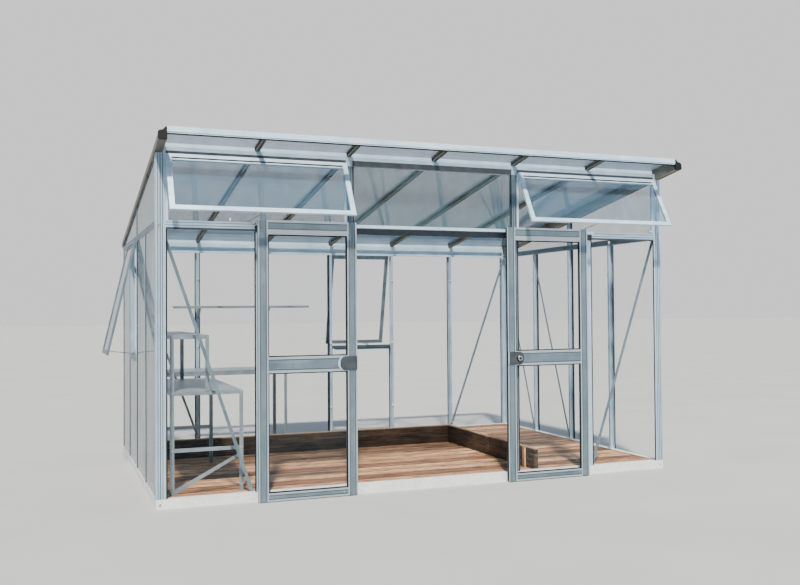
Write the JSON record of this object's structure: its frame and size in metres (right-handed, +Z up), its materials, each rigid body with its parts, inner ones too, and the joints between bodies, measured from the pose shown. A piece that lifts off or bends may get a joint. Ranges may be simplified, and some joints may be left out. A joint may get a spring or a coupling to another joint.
{
  "type": "glass greenhouse",
  "caption": "Free-standing aluminium and glass greenhouse with a single-slope roof, sliding double doors, hinged vents, timber deck, bed boards and staging.",
  "frame": {"origin": "centre of the ground plan, at ground level, on the underside of the middle deck bearer", "axes": "+X along the front wall to the right as seen from the front, +Y from the front wall with the doors to the low back wall, +Z up"},
  "size_m": [3.9858, 2.9859, 2.3242],
  "materials": {
    "bed_timber": "rough sawn, weathered grey",
    "black_plastic": "matte",
    "black_seal": "matte",
    "bright_aluminium": "satin",
    "deck_timber": "weathered reddish brown decking",
    "door_aluminium": "satin, fine grooves along each bar",
    "frame_aluminium": "mill finish, weathered to a dull grey",
    "galvanised_base": "galvanised, dull",
    "glass": "clear horticultural glass, faintly green",
    "hanger_steel": "zinc plated",
    "lock_plate": "matte",
    "staging_aluminium": "dull"
  },
  "bodies": {
    "greenhouse": {"back_bars": "frame_aluminium", "back_glass": "glass", "base_back": "galvanised_base", "base_front": "galvanised_base", "base_sides": "galvanised_base", "bed_boards": "bed_timber", "bench_legs": "staging_aluminium", "bench_rails": "staging_aluminium", "bench_top": "staging_aluminium", "clerestory_glass": "glass", "corner_posts": "frame_aluminium", "deck": "deck_timber", "deck_bearers": "deck_timber", "door_posts": "frame_aluminium", "door_threshold": "galvanised_base", "door_track": "frame_aluminium", "eave_beam": "frame_aluminium", "end_rafters": "frame_aluminium", "fascia_end_caps": "black_plastic", "front_bars": "frame_aluminium", "front_glass": "glass", "front_rail": "frame_aluminium", "front_vent_glass": "glass", "front_vents": "bright_aluminium", "gable_bars": "frame_aluminium", "gable_glass": "glass", "gutter": "frame_aluminium", "head_beam": "frame_aluminium", "rafters": "frame_aluminium", "roof_closers": "frame_aluminium", "roof_fascia": "bright_aluminium", "roof_glass": "glass", "shelf_brackets": "staging_aluminium", "side_bars": "frame_aluminium", "side_glass": "glass", "side_rails": "frame_aluminium", "staging_legs": "staging_aluminium", "staging_rails": "staging_aluminium", "staging_shelves": "staging_aluminium", "staging_side_rails": "staging_aluminium", "track_stops": "black_plastic", "vent_hinges": "bright_aluminium", "vent_seals": "black_seal", "vent_sills": "frame_aluminium", "vent_stays": "frame_aluminium", "wall_braces": "frame_aluminium", "wall_shelf": "staging_aluminium", "wall_vent_glass": "glass", "wall_vents": "bright_aluminium"},
    "door_left": {"door_left_glass": "glass", "door_left_hangers": "hanger_steel", "door_left_lock": "lock_plate", "door_left_rails": "door_aluminium", "door_left_stiles": "door_aluminium"},
    "door_right": {"door_right_glass": "glass", "door_right_hangers": "hanger_steel", "door_right_lock": "lock_plate", "door_right_rails": "door_aluminium", "door_right_stiles": "door_aluminium"}
  },
  "joints": [
    {"name": "door_left_slide", "type": "slide", "parent": "greenhouse", "child": "door_left", "axis": [1, 0, 0], "range_m": [0, 0.592]},
    {"name": "door_right_slide", "type": "slide", "parent": "greenhouse", "child": "door_right", "axis": [-1, 0, 0], "range_m": [-0.07, 0.522]}
  ]
}
